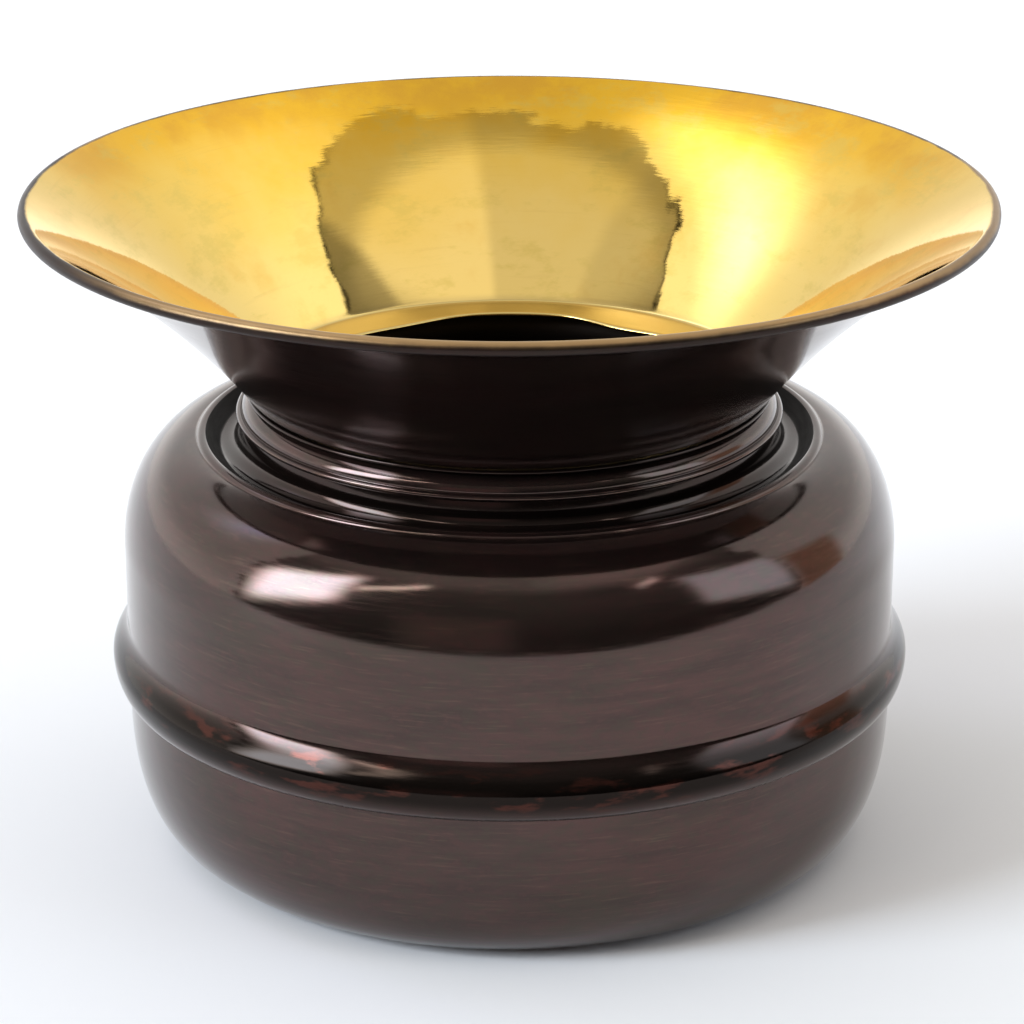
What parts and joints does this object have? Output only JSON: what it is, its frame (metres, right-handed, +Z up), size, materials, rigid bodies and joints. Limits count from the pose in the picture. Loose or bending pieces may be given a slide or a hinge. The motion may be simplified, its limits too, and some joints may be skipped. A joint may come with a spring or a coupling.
{
  "type": "flared brass pot",
  "caption": "Squat round-bottomed brass pot with a beaded belly and a stepped neck, and a wide flared funnel mouth that lifts off it.",
  "frame": {"origin": "on the turning axis, level with the standing ring under the bowl, which is the middle of the bottom of the bounding box", "axes": "+Z up along the turning axis; the pot is round, so X and Y are free"},
  "size_m": [0.229, 0.229, 0.1584],
  "materials": {
    "polished_brass": "polished gold-coloured brass inside, brown patina outside",
    "patinated_brass": "dark brown patina, lacquered, with fine brushing round the axis",
    "raw_brass": "plain drawn wire and brazing, hidden"
  },
  "bodies": {
    "pot": {"lower_bowl": "patinated_brass", "upper_shell": "patinated_brass", "neck_collar": "patinated_brass", "belly_braze": "raw_brass", "neck_braze": "raw_brass"},
    "mouth": {"funnel": "polished_brass", "rim_wire": "raw_brass", "throat_ring": "patinated_brass"}
  },
  "joints": [
    {"name": "mouth_lift", "type": "slide", "parent": "pot", "child": "mouth", "axis": [0, 0, 1], "range_m": [0, 0.12]}
  ]
}
